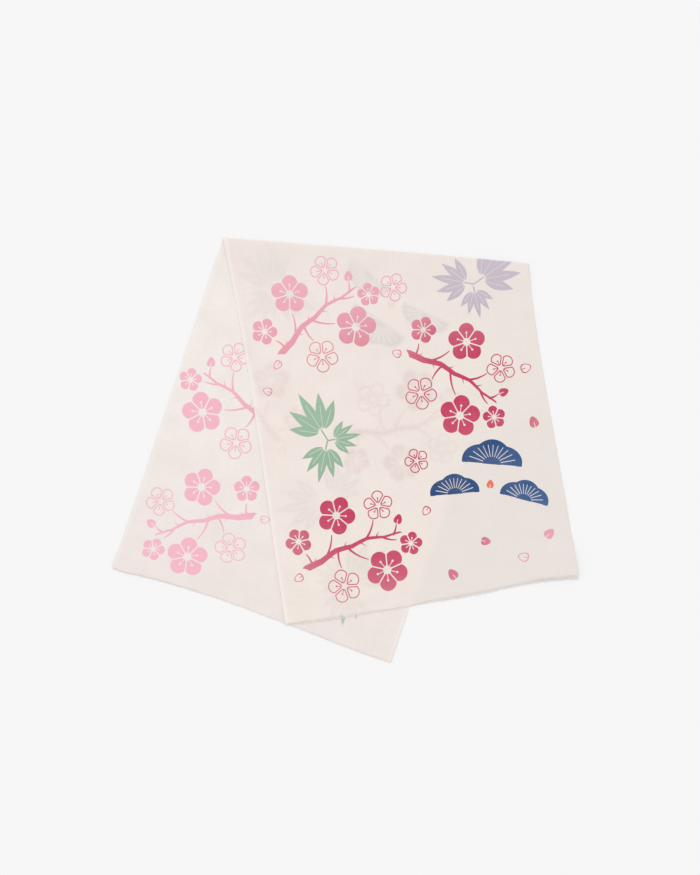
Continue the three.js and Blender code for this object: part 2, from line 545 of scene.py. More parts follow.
SPRAY_PLACES = (
    SprayPlace(PLUM_SPRAY, across=-84, along=74, turn=12, dye=Dye.PLUM),
    SprayPlace(PINE_SPRAY, across=92, along=128, turn=-14, dye=Dye.PINE),
    SprayPlace(BAMBOO_SPRAY, across=-96, along=214, turn=24, dye=Dye.BAMBOO),
    SprayPlace(PLUM_SPRAY, across=66, along=262, turn=-38, dye=Dye.PLUM),
    SprayPlace(PLUM_SPRAY, across=-82, along=356, turn=32, dye=Dye.PLUM),
    SprayPlace(BAMBOO_SPRAY, across=112, along=372, turn=-64, dye=Dye.MIST),
    SprayPlace(PINE_SPRAY, across=40, along=486, turn=16, dye=Dye.PINE),
    SprayPlace(BAMBOO_SPRAY, across=-100, along=520, turn=140, dye=Dye.BAMBOO),
    SprayPlace(PLUM_SPRAY, across=92, along=620, turn=-30, dye=Dye.PLUM),
    SprayPlace(PLUM_SPRAY, across=-96, along=668, turn=204, dye=Dye.PLUM),
    SprayPlace(BAMBOO_SPRAY, across=44, along=738, turn=60, dye=Dye.MIST),
    SprayPlace(PLUM_SPRAY, across=-88, along=818, turn=150, dye=Dye.PLUM),
    SprayPlace(BAMBOO_SPRAY, across=96, along=826, turn=-150, dye=Dye.BAMBOO),
)
LOOSE_MOTIFS = (
    Motif(Shape.BUD, 30, 30, size=8, turn=30, dye=Dye.PLUM),
    Motif(Shape.BUD, 76, 62, size=7, turn=-110, dye=Dye.PLUM),
    Motif(Shape.BUD, 118, 34, size=8, turn=70, outlined=True, dye=Dye.PLUM),
    Motif(Shape.BUD, 154, 58, size=8, turn=-50, dye=Dye.PLUM),
    Motif(Shape.BLOSSOM, 8, 172, size=15, turn=15, outlined=True, dye=Dye.PLUM),
    Motif(Shape.BUD, 10, 110, size=7, turn=140, outlined=True, dye=Dye.PLUM),
    Motif(Shape.BUD, 158, 196, size=8, turn=10, dye=Dye.PLUM),
    Motif(Shape.BUD, 160, 262, size=8, turn=-80, outlined=True, dye=Dye.PLUM),
    Motif(Shape.BLOSSOM, 14, 384, size=17, turn=40, outlined=True, dye=Dye.PLUM),
    Motif(Shape.BUD, -160, 284, size=7, turn=60, outlined=True, dye=Dye.PLUM),
)


class PlacedMotifs(NamedTuple):
    """The motifs of the whole cut length, as columns."""

    shape: Array
    across: Array
    along: Array
    size: Array
    turn: Array
    outlined: Array
    deep: Array
    pale: Array


class Reach(NamedTuple):
    """A round-cornered box that holds a shape, as shares of its size, with the shape's own up as up."""

    half_width: float
    down: float
    up: float
    rounding: float


REACHES = {
    Shape.BLOSSOM: Reach(half_width=0, down=0, up=0, rounding=1),
    Shape.BUD: Reach(half_width=0, down=0, up=0, rounding=1.1),
    Shape.LEAF_FAN: Reach(half_width=0.5, down=0, up=0.72, rounding=0.26),
    Shape.PINE_CROWN: Reach(half_width=0.7, down=-0.1, up=0.5, rounding=0.3),
    Shape.TWIG: Reach(half_width=0.92, down=0, up=0.14, rounding=0.08),
    Shape.SHOOT: Reach(half_width=0, down=0, up=1, rounding=0.08),
}


class DyePool(NamedTuple):
    """A place where the dye was poured, and how far off it has half run thin."""

    across: float
    along: float
    spread: float


DYE_FALL = 4  # the power by which the dye thins with the distance
DYE_POOLS = (
    DyePool(across=-40, along=150, spread=170),
    DyePool(across=90, along=250, spread=110),
    DyePool(across=60, along=640, spread=90),
)
RANKS = ("nearest", "next")  # the two motifs that each face draws
RIM_FADE = 1  # how softly what shows through ends at the rim of its layer


class StencilPrint:
    """The dyed print: motifs charted on the cut length, each in its own place and turn."""

    def __init__(self, lay: LaidCloth) -> None:
        """Charts the motifs of a cloth.

        Args:
            lay: How that cloth lies, which says what shows through it.
        """
        self.lay = lay
        self.motifs = self._placed()

    def _placed(self) -> PlacedMotifs:
        """Lays every spray in its place, turned as its row says, and adds the loose motifs."""
        rows = []
        for place in SPRAY_PLACES:
            turn = math.radians(place.turn)
            cos, sin = math.cos(turn), math.sin(turn)
            for m in place.spray:
                across = place.across + m.across * cos - m.along * sin
                along = place.along + m.across * sin + m.along * cos
                turned = m._replace(turn=m.turn + place.turn, dye=m.dye or place.dye)
                rows.append(turned._replace(across=across, along=along))
        rows.extend(LOOSE_MOTIFS)
        return PlacedMotifs(
            shape=np.array([m.shape.value for m in rows]),
            across=np.array([m.across for m in rows]),
            along=np.array([m.along for m in rows]),
            size=np.array([m.size for m in rows]),
            turn=np.radians([m.turn for m in rows]),
            outlined=np.array([float(m.outlined) for m in rows]),
            deep=np.array([linear(m.dye.value[0]) for m in rows]),
            pale=np.array([linear(m.dye.value[1]) for m in rows]),
        )

    def local(self, across: Array, along: Array, which: Array) -> tuple[Array, Array]:
        """Places as their motifs see them: moved to the motif's own middle and turned back by its turn.

        Args:
            across: Places across the cut length.
            along: Places along it.
            which: The motif of each place.

        Returns:
            The places to the right of and above the motif's middle.
        """
        m = self.motifs
        right, up = across - m.across[which], along - m.along[which]
        cos, sin = np.cos(m.turn[which]), np.sin(m.turn[which])
        return right * cos + up * sin, up * cos - right * sin

    def nearest_two(self, across: Array, along: Array) -> tuple[Array, Array]:
        """The two motifs whose boxes are nearest to each place.

        Args:
            across: Places across the cut length.
            along: Places along it.

        Returns:
            The number of the nearest motif and that of the next.
        """
        distances = []
        for number, (shape, size) in enumerate(zip(self.motifs.shape, self.motifs.size)):
            reach = REACHES[Shape(shape)]
            right, up = self.local(across, along, np.full(across.shape, number))
            beside = np.maximum(np.abs(right) - reach.half_width * size, 0)
            beyond = np.maximum(np.maximum(up - reach.up * size, -reach.down * size - up), 0)
            distances.append(np.hypot(beside, beyond) - reach.rounding * size)
        order = np.argpartition(np.stack(distances, axis=-1), 1, axis=-1)
        return order[..., 0], order[..., 1]

    def dye(self, across: Array, along: Array, which: Array) -> Array:
        """Each place's dye: deep by a pool of it and paler with the distance, as the poured dye ran.

        Args:
            across: Places across the cut length.
            along: Places along it.
            which: The motif of each place.

        Returns:
            Colours as shares of light, with a fourth column of ones.
        """
        depth = np.zeros(across.shape)
        for pool in DYE_POOLS:
            away = np.hypot(across - pool.across, along - pool.along) / pool.spread
            depth = np.maximum(depth, 1 / (1 + away**DYE_FALL))
        m = self.motifs
        colour = m.pale[which] + (m.deep[which] - m.pale[which]) * depth[..., None]
        return np.concatenate([colour, np.ones_like(colour[..., :1])], axis=-1)

    def write(self, mesh: bpy.types.Mesh, faces: Array, across: Array, along: Array) -> None:
        """Writes the print to a mesh's corners: for each face its two motifs' own axes, kind and dye.

        Two more sets are for what lies against the face and shows through it, with a weight that is
        zero where nothing lies there.

        Args:
            mesh: The mesh, with faces in the order given.
            faces: The vertices of each face.
            across: Each vertex's place across the cut length.
            along: Each vertex's place along it.
        """
        here = across[faces], along[faces]
        self._write_sets(mesh, "motif", here, np.ones(faces.shape))
        under = self.lay.fold.mirrored(*here)
        cut = self.lay.cut
        from_end = np.minimum(under[1], cut.length - under[1])
        inside = np.minimum(cut.half_width - np.abs(under[0]), from_end)
        clear = np.abs(self.lay.fold.past(*here)) - self.lay.fold.settle
        weight = smoothstep(inside, -RIM_FADE, RIM_FADE) * smoothstep(clear, -self.lay.fold.settle, 0)
        self._write_sets(mesh, "under", under, weight)

    def _write_sets(
        self, mesh: bpy.types.Mesh, name: str, places: tuple[Array, Array], weight: Array
    ) -> None:
        """Writes a layer's two sets of attributes, named after that layer and the motif's rank.

        Args:
            mesh: The mesh.
            name: The layer's name.
            places: Where each corner of each face is, across and along.
            weight: How much of the layer's print shows there.
        """
        across, along = places
        m = self.motifs
        for rank, numbers in zip(RANKS, self.nearest_two(across.mean(axis=1), along.mean(axis=1))):
            which = np.repeat(numbers[:, None], across.shape[1], axis=1)
            right, up = self.local(across, along, which)
            kind = np.stack([m.shape[which], m.outlined[which], weight], axis=-1)
            sets = {
                "place": ("FLOAT_VECTOR", "vector", np.stack([right, up, m.size[which]], axis=-1)),
                "kind": ("FLOAT_VECTOR", "vector", kind),
                "dye": ("FLOAT_COLOR", "color", self.dye(across, along, which)),
            }
            for part, (data_type, field, values) in sets.items():
                layer = mesh.attributes.new(f"{name}_{rank}_{part}", data_type, "CORNER")
                layer.data.foreach_set(field, values.astype(np.float32).ravel())


Term = Union["Value", bpy.types.NodeSocket, float, tuple]


class Value:
    """A number in a shader. It wraps the socket that the number comes from, and operators add Math nodes."""

    def __init__(self, wiring: "Wiring", socket: bpy.types.NodeSocket) -> None:
        """Wraps a socket of a material's wiring."""
        self.wiring = wiring
        self.socket = socket

    def via(self, operation: str, *others: Term) -> "Value":
        """Runs this number, and any others after it, through a Math node."""
        return self.wiring.math(operation, self, *others)

    def __add__(self, other: Term) -> "Value":
        """This number plus another."""
        return self.via("ADD", other)

    __radd__ = __add__

    def __sub__(self, other: Term) -> "Value":
        """This number less another."""
        return self.via("SUBTRACT", other)

    def __rsub__(self, other: Term) -> "Value":
        """Another number less this one."""
        return self.wiring.math("SUBTRACT", other, self)

    def __mul__(self, other: Term) -> "Value":
        """This number times another."""
        return self.via("MULTIPLY", other)

    __rmul__ = __mul__

    def __truediv__(self, other: Term) -> "Value":
        """This number over another."""
        return self.via("DIVIDE", other)

    def __rtruediv__(self, other: Term) -> "Value":
        """Another number over this one."""
        return self.wiring.math("DIVIDE", other, self)

    def __neg__(self) -> "Value":
        """This number with its sign changed."""
        return 0.0 - self

    def __abs__(self) -> "Value":
        """This number without its sign."""
        return self.via("ABSOLUTE")

    def __round__(self) -> "Value":
        """The whole number nearest to this one."""
        return self.via("ROUND")


class Wiring:
    """The nodes of one material."""

    def __init__(self, material: bpy.types.Material) -> None:
        """Clears a material's nodes and starts on its own."""
        material.use_nodes = True
        self.tree = material.node_tree
        self.tree.nodes.clear()

    def node(self, kind: str, settings: dict[str, Any], sockets: dict[Any, Term]) -> bpy.types.Node:
        """Adds a node.

        Args:
            kind: The node's type.
            settings: Its settings, set first because they say which sockets it has.
            sockets: What each input gets, a value or a link, by the input's name or number.

        Returns:
            The new node.
        """
        node = self.tree.nodes.new(kind)
        for name, setting in settings.items():
            setattr(node, name, setting)
        for name, term in sockets.items():
            shown = [s for s in node.inputs if s.enabled]
            socket = shown[name] if isinstance(name, int) else next(s for s in shown if s.name == name)
            link = term.socket if isinstance(term, Value) else term
            if isinstance(link, bpy.types.NodeSocket):
                self.tree.links.new(link, socket)
            else:
                socket.default_value = link
        return node

    def math(self, operation: str, *terms: Term) -> Value:
        """Adds a Math node and wraps what it gives."""
        node = self.node("ShaderNodeMath", {"operation": operation}, dict(enumerate(terms)))
        return Value(self, node.outputs[0])

    def attribute(self, name: str) -> bpy.types.Node:
        """Adds a node that reads one of the mesh's attributes."""
        return self.node("ShaderNodeAttribute", {"attribute_name": name}, {})

    def parts(self, vector: bpy.types.NodeSocket) -> tuple[Value, Value, Value]:
        """Splits a vector into its three numbers."""
        node = self.node("ShaderNodeSeparateXYZ", {}, {"Vector": vector})
        return tuple(Value(self, s) for s in node.outputs)

    def mix(self, factor: Term, first: Term, second: Term) -> bpy.types.NodeSocket:
        """Mixes two colours, from the first at a factor of 0 to the second at 1."""
        sockets = {"Factor": factor, "A": first, "B": second}
        node = self.node("ShaderNodeMix", {"data_type": "RGBA"}, sockets)
        return next(s for s in node.outputs if s.enabled)

    def noise(self, place: bpy.types.NodeSocket, stretch: Colour, detail: float) -> Value:
        """Adds a noise over a place, with that many bumps to a millimetre each way.

        Args:
            place: The vector that the noise is read at.
            stretch: Bumps to a millimetre across, along and through the cloth.
            detail: Finer noises added to the first.

        Returns:
            The noise, about a half at its middle.
        """
        scaled = self.node("ShaderNodeVectorMath", {"operation": "MULTIPLY"}, {0: place, 1: stretch})
        sockets = {"Vector": scaled.outputs[0], "Scale": 1.0, "Detail": detail}
        return Value(self, self.node("ShaderNodeTexNoise", {}, sockets).outputs[0])


def least(first: Value, second: Term) -> Value:
    """The lower of two numbers, which joins two shapes given by their distances."""
    return first.via("MINIMUM", second)


def most(first: Value, second: Term) -> Value:
    """The higher of two numbers, which keeps what two shapes share."""
    return first.via("MAXIMUM", second)


def reach_of(right: Value, up: Value) -> Value:
    """The length of a step to the right and up: the root of the sum of their squares."""
    return (right * right + up * up).via("SQRT")


def share_of(value: Value) -> Value:
    """A number kept from 0 to 1."""
    return least(most(value, 0.0), 1.0)


@dataclass(frozen=True)
class StencilShapes:
    """Formulas for the stencil's shapes: how far, in millimetres, a place is outside the shape's edge."""

    right: Value
    up: Value
    size: Value
    outlined: Value
    line: float = 1.3  # the width of an outline, in millimetres
    bridge: float = 1.5  # of the uncut strips that hold a stencil together
    hair: float = 0.9  # of stamens and needles

    def turned_to(self, turn: Value) -> tuple[Value, Value]:
        """The place as seen by a spoke at a turn to the right: its distance from the spoke and along it."""
        cos, sin = turn.via("COSINE"), turn.via("SINE")
        return abs(self.right * cos - self.up * sin), self.right * sin + self.up * cos

    def styled(self, solid: Value, inlay: Value) -> Value:
        """Cuts a shape as the motif says: solid with the inlay left bare, or as an outline with it dyed."""
        full = most(solid, -inlay)
        outline = least(abs(solid + self.line / 2) - self.line / 2, inlay)
        return full + (outline - full) * self.outlined

    def blossom(self) -> Value:
        """Five round petals: circles on spokes, cut back from the spokes' borders and from the middle.

        A stamen on each spoke, a fine line with a dot at its end, is the inlay.
        """
        petals = 5
        step = FULL_TURN / petals
        middle, radius, heart = 0.6, 0.41, 0.17
        stamen, anther = 0.5, 0.055
        turn = round(self.right.via("ARCTAN2", self.up) / step) * step
        beside, out = self.turned_to(turn)
        circle = reach_of(beside, out - self.size * middle) - self.size * radius
        border = beside * math.cos(step / 2) - out * math.sin(step / 2) + self.bridge / 2
        solid = most(most(circle, border), self.size * heart - out)
        stalk = most(most(beside - self.hair / 2, out - self.size * stamen), self.size * heart - out)
        dot = reach_of(beside, out - self.size * stamen) - self.size * anther
        return self.styled(solid, least(stalk, dot))

    def bud(self) -> Value:
        """A drop: a circle drawn in towards its tip, with a short bare line up from its foot."""
        narrow, drawn_in = 1.25, 0.5
        radius, line_top = 0.85, -0.1
        beside = abs(self.right) * (narrow + self.up / self.size * drawn_in)
        solid = reach_of(beside, self.up) - self.size * radius
        inlay = most(abs(self.right) - self.hair / 2, self.up - self.size * line_top)
        return self.styled(solid, most(inlay, solid))

    def leaf_fan(self) -> Value:
        """Five lance leaves on spokes from one joint, the outer ones shorter, and the stalk they grow from.

        A leaf's half width is a parabola between its root and tip, fuller towards the root.
        """
        step = math.radians(25)
        outermost = 2
        root, plump, fuller, shorter = 0.1, 0.105, 0.35, 0.13
        rib_top, far_out = 0.7, 2.0
        stalk_middle, stalk_half = -0.03, 0.13
        number = round(self.right.via("ARCTAN2", self.up) / step)
        number = most(least(number, outermost), -outermost)
        beside, out = self.turned_to(number * step)
        tip = self.size * (1 - abs(number) * shorter)
        half = (tip - self.size * root) / 2
        along = least((out - self.size * root) / half - 1, far_out)
        width = self.size * plump * (1 - along * along) * (1 - along * fuller)
        leaf = beside - width
        rib = most(beside - self.hair / 4, out - tip * rib_top)
        up_stalk = abs(self.up - self.size * stalk_middle) - self.size * stalk_half
        stalk = most(abs(self.right) - self.hair, up_stalk)
        return least(self.styled(leaf, most(rib, leaf)), stalk)

    def pine_crown(self) -> Value:
        """A half round of needles: a flattened circle with a scalloped rim and a level foot.

        Bare needles on spokes are the inlay, drawn from near the foot towards the rim.
        """
        lobes = 5
        flat = 1.25
        scallop, body = 0.12, 0.88
        step = math.radians(15)
        inner, outer = 0.3, 0.78
        angle = self.right.via("ARCTAN2", self.up)
        out = reach_of(self.right, self.up * flat)
        rim = self.size * (abs((angle * (lobes / 2)).via("COSINE")) * scallop + body)
        solid = most(out - rim, -self.up)
        beside = abs(angle / step - round(angle / step)) * step * out
        needle = most(most(beside - self.hair / 2, self.size * inner - out), out - self.size * outer)
        return self.styled(solid, needle)

    def twig(self) -> Value:
        """A bowed, zigzag stroke that thins towards one end, with slanting spurs by turns on either side."""
        bow, bend = 0.14, 0.1
        thick, thin, slant = 0.042, 0.62, 0.9
        pitch, spur, lean, sharp, last_spur = 0.66, 0.13, 0.8, 0.16, 0.8
        share = self.right / self.size
        zigzag = abs(share / pitch - round(share / pitch))
        up = self.up - self.size * (bow * (1 - share * share) + bend * zigzag)
        ends = abs(self.right + up * slant) - self.size
        stroke = most(abs(up) - self.size * thick * (1 - share * thin), ends)
        slanted = share - abs(up) / self.size * lean + up.via("SIGN") * (pitch / 4)
        beside = abs(slanted / pitch - round(slanted / pitch)) * (self.size * pitch)
        taper = self.size * spur - abs(up)
        spurs = most(beside - taper * sharp, abs(self.right) - self.size * last_spur)
        return least(stroke, most(spurs, -taper))

    def shoot(self) -> Value:
        """A thin stroke from its foot up to its tip, bowed to one side and thinner at the tip."""
        bow, foot, tip = 0.07, 1.5, 0.6
        share = self.up / self.size
        beside = abs(self.right - self.size * bow * 4 * share * (1 - share))
        return most(beside - foot + (foot - tip) * share, abs(self.up - self.size / 2) - self.size / 2)

    def distance(self, kind: Value) -> Value:
        """The distance for whichever shape the motif is: each formula times whether it is that one."""
        formulas = {
            Shape.BLOSSOM: self.blossom(),
            Shape.BUD: self.bud(),
            Shape.LEAF_FAN: self.leaf_fan(),
            Shape.PINE_CROWN: self.pine_crown(),
            Shape.TWIG: self.twig(),
            Shape.SHOOT: self.shoot(),
        }
        chosen = [d * kind.via("COMPARE", s.value, MIDDLE) for s, d in formulas.items()]
        return sum(chosen[1:], chosen[0])


@dataclass(frozen=True)
class DyedCotton:
    """Thin undyed cotton in a plain weave, with dye poured through a stencil."""

    ground: tuple[int, int, int] = (245, 234, 227)  # where the cloth lies double
    single: tuple[int, int, int] = (246, 239, 234)  # where the lower layer lies bare, near the fold
    far_single: tuple[int, int, int] = (241, 232, 228)  # and towards its end
    raised_shade: tuple[int, int, int] = (235, 228, 223)  # painted shade: greyer where the upper layer hangs clear of the lower one
    slub: tuple[int, int, int] = (231, 219, 212)  # where the yarn is thicker
    # paler for a selvedge's denser weave, and on the upper layer's left one also a painted highlight
    selvedge: tuple[int, int, int] = (249, 243, 238)
    show_through: tuple[int, int, int] = (176, 168, 178)  # what greys the print of the layer beneath
    exposure: float = 0.92  # screen colours to the cloth's own, in the studio's light
    roughness: float = 0.92
    uneven_roughness: float = 0.05  # added where the yarn is thicker
    specular: float = 0.2
    sheen: float = 0.06
    yarn_pitch: float = 0.5
    yarn_relief: float = 0.8  # of thicker yarn, as a share of the weave's
    relief: float = 0.06 * MM
    relief_strength: float = 0.25
    slub_bumps: tuple[float, float] = (0.9, 0.016)  # to a millimetre, over a yarn and along it
    cloud_bumps: float = 0.03  # to a millimetre, as is the next
    bleed_bumps: float = 1.6
    yarn_share: float = 0.9  # how far single yarns make the cloth uneven
    cloud_share: float = 1.2  # how far slow clouds do
    evenness: float = 1.1  # what is taken off both
    slub_share: float = 0.62  # how far the thickest yarn takes on its own tone
    dye_strength: float = 1.02
    dye_uneven: float = 0.12  # how much less of it thick yarn takes
    bleed: float = 0.35  # how unevenly the dye's edge runs
    crisp: float = 0.3  # how fast the print's edge fades
    blurred: float = 5.0  # how fast it fades through a layer
    through: float = 0.17  # how much of it shows there
    selvedge_width: float = 6
    selvedge_fade: float = 1.6  # how much faster its paleness fades, once it does
    selvedge_share: float = 0.28  # how pale it is, for its denser weave
    left_selvedge_highlight: float = 0.2  # painted highlight: how much paler the upper layer's left one is, where it faces the light
    shade_edge_run: float = 12  # how softly the painted shade starts at the edge of the layer beneath, and at the fold
    beside_shade_run: float = 420  # along, over which the painted shade beside that edge fades out
    beside_shade_start: float = 1.3  # how strong that painted shade is at the front end
    shade_drift_run: float = 300  # across, over which the upper layer lifts and the painted shade on it grows
    shade_drift_start: float = 0.4  # how far it has lifted by the middle, which sets the painted shade there
    shade_drift_share: float = 0.65  # how much of that painted shade shows
    single_start: float = 200  # past the fold, where the lower layer's tone starts to turn
    single_run: float = 260
    fold_shade_run: float = 70  # short of the fold, where the upper layer has settled on the lower and its painted shade ends

    def shade(self, screen: tuple[int, int, int]) -> tuple[float, float, float, float]:
        """A screen colour as the cloth's own colour."""
        return (*(x * self.exposure for x in linear(screen)), 1.0)

    def motif(self, wiring: Wiring, name: str) -> tuple[Value, bpy.types.NodeSocket, Value]:
        """Reads one set of the print's attributes: the distance from the motif's edge, its dye and weight."""
        right, up, size = wiring.parts(wiring.attribute(f"{name}_place").outputs["Vector"])
        kind, outlined, weight = wiring.parts(wiring.attribute(f"{name}_kind").outputs["Vector"])
        distance = StencilShapes(right, up, size, outlined).distance(kind)
        return distance, wiring.attribute(f"{name}_dye").outputs["Color"], weight

    def printed(
        self, wiring: Wiring, name: str, ragged: Term, fade: float
    ) -> tuple[Value, bpy.types.NodeSocket]:
        """What a layer's print puts at each place, by whichever of its two motifs is nearer there.

        Args:
            wiring: The material's nodes.
            name: The layer's name in the attributes.
            ragged: What is added to the distance from a shape's edge.
            fade: The width over which the dye fades there, in millimetres.

        Returns:
            The dye's strength, from 0 to 1, and its colour.
        """
        (first, first_dye, weight), (second, second_dye, _) = (
            self.motif(wiring, f"{name}_{rank}") for rank in RANKS
        )
        dye = wiring.mix(first.via("GREATER_THAN", second), first_dye, second_dye)
        return share_of(MIDDLE - (least(first, second) + ragged) / fade) * weight, dye

    def weave(self, across: Value, along: Value) -> Value:
        """The weave's height: warp and weft pass over each other by turns, a sine each way, multiplied."""
        turns = FULL_TURN / 2 / self.yarn_pitch
        return (across * turns).via("SINE") * (along * turns).via("SINE")

    def material(self) -> bpy.types.Material:
        """Makes the material.

        Returns:
            A material for a mesh that has the print's attributes, and cut_length and from_edges, which
            LaidCloth writes.
        """
        material = bpy.data.materials.new(COTTON_SLOT)
        wiring = Wiring(material)
        place = wiring.attribute("cut_length").outputs["Vector"]
        across, along, _ = wiring.parts(place)
        from_selvedge, from_fold, on_lower = wiring.parts(wiring.attribute("from_edges").outputs["Vector"])
        over, onto = self.slub_bumps
        warp = wiring.noise(place, (over, onto, 0), detail=2)
        weft = wiring.noise(place, (onto, over, 0), detail=2)
        cloudy = wiring.noise(place, (self.cloud_bumps, self.cloud_bumps, 0), detail=3)
        fine = wiring.noise(place, (self.bleed_bumps, self.bleed_bumps, 0), detail=1)

        uneven = share_of((warp + weft) * self.yarn_share + cloudy * self.cloud_share - self.evenness)
        # Painted shade: the upper layer is made greyer where it hangs clear and less light comes through it,
        # that is beside the lower layer's right selvedge, short of the fold and towards its right.
        beside = share_of(MIDDLE - on_lower / self.shade_edge_run)
        beside = beside * share_of(self.beside_shade_start - along / self.beside_shade_run)
        fold_shade = share_of(1 + from_fold / self.fold_shade_run) * share_of(from_fold / -self.shade_edge_run) * MIDDLE
        rightward_shade = share_of(across / self.shade_drift_run + self.shade_drift_start) * self.shade_drift_share
        clear = most(most(beside, fold_shade), rightward_shade)
        ground = wiring.mix(clear, self.shade(self.ground), self.shade(self.raised_shade))
        onward = share_of((from_fold - self.single_start) / self.single_run)
        single = wiring.mix(onward, self.shade(self.single), self.shade(self.far_single))
        ground = wiring.mix(share_of(from_fold), ground, single)
        ground = wiring.mix(uneven * self.slub_share, ground, self.shade(self.slub))
        # The selvedges are paler for their denser weave. The upper layer's right one is left out, as it faces
        # away from the light, and its left one is paler still as a painted highlight.
        upper_right = share_of(across) * share_of(-from_fold)
        upper_left = share_of(-across) * share_of(-from_fold)
        paler = self.selvedge_share * (1 - upper_right) + self.left_selvedge_highlight * upper_left
        fade = self.selvedge_fade - from_selvedge / self.selvedge_width * self.selvedge_fade
        ground = wiring.mix(share_of(fade) * paler, ground, self.shade(self.selvedge))

        under, under_dye = self.printed(wiring, "under", 0.0, self.blurred)
        under_dye = wiring.mix(MIDDLE, under_dye, self.shade(self.show_through))
        ground = wiring.mix(under * self.through, ground, under_dye)

        ragged = (fine - MIDDLE) * self.bleed
        strength, dye = self.printed(wiring, "motif", ragged, self.crisp)
        taken_up = self.dye_strength - uneven * self.dye_uneven
        colour = wiring.mix(share_of(strength * taken_up), ground, dye)

        height = self.weave(across, along) + warp * self.yarn_relief + weft * self.yarn_relief
        sockets = {"Strength": self.relief_strength, "Distance": self.relief, "Height": height}
        bump = wiring.node("ShaderNodeBump", {}, sockets)
        cotton = wiring.node(
            "ShaderNodeBsdfPrincipled",
            {},
            {
                "Base Color": colour,
                "Roughness": self.roughness + uneven * self.uneven_roughness,
                "Specular IOR Level": self.specular,
                "Sheen Weight": self.sheen,
                "Normal": bump.outputs[0],
            },
        )
        wiring.node("ShaderNodeOutputMaterial", {}, {"Surface": cotton.outputs[0]})
        return material


def new_piece(
    name: str, points: Array, faces: Array, material: bpy.types.Material, smooth: bool
) -> bpy.types.Object:
    """Makes a mesh piece that rides on the towel's body.

    Args:
        name: The piece's name.
        points: Its vertices in millimetres, on the frame's axes.
        faces: The vertices of each face.
        material: Its finish.
        smooth: Whether its faces are shaded as one surface.

    Returns:
        The new object.
    """
    mesh = bpy.data.meshes.new(name)
    mesh.from_pydata((points * MM).tolist(), [], faces.tolist())
    mesh.polygons.foreach_set("use_smooth", np.full(len(faces), smooth))
    mesh.materials.append(material)
    piece = bpy.data.objects.new(name, mesh)
    bpy.context.collection.objects.link(piece)
    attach(piece, BODY)
    log.info("%s: %d faces", name, len(faces))
    return piece


class CutEnd(Enum):
    """The two raw ends of the cut length, each with the phase of its unevenness."""

    FRONT = 5
    BACK = 4


class FringeStretch(NamedTuple):
    """A stretch of a cut end, by shares of the width, where the weave has come away further."""

    end: CutEnd
    start: float
    stop: float
    depth: float


FRINGE_STRETCHES = (
    FringeStretch(CutEnd.FRONT, start=-0.1, stop=0.42, depth=3),
    FringeStretch(CutEnd.FRONT, start=0.42, stop=0.76, depth=3.4),
    FringeStretch(CutEnd.FRONT, start=0.6, stop=1.25, depth=3),
    FringeStretch(CutEnd.BACK, start=0.1, stop=0.55, depth=0.8),
    FringeStretch(CutEnd.BACK, start=0.6, stop=1.05, depth=0.9),
)


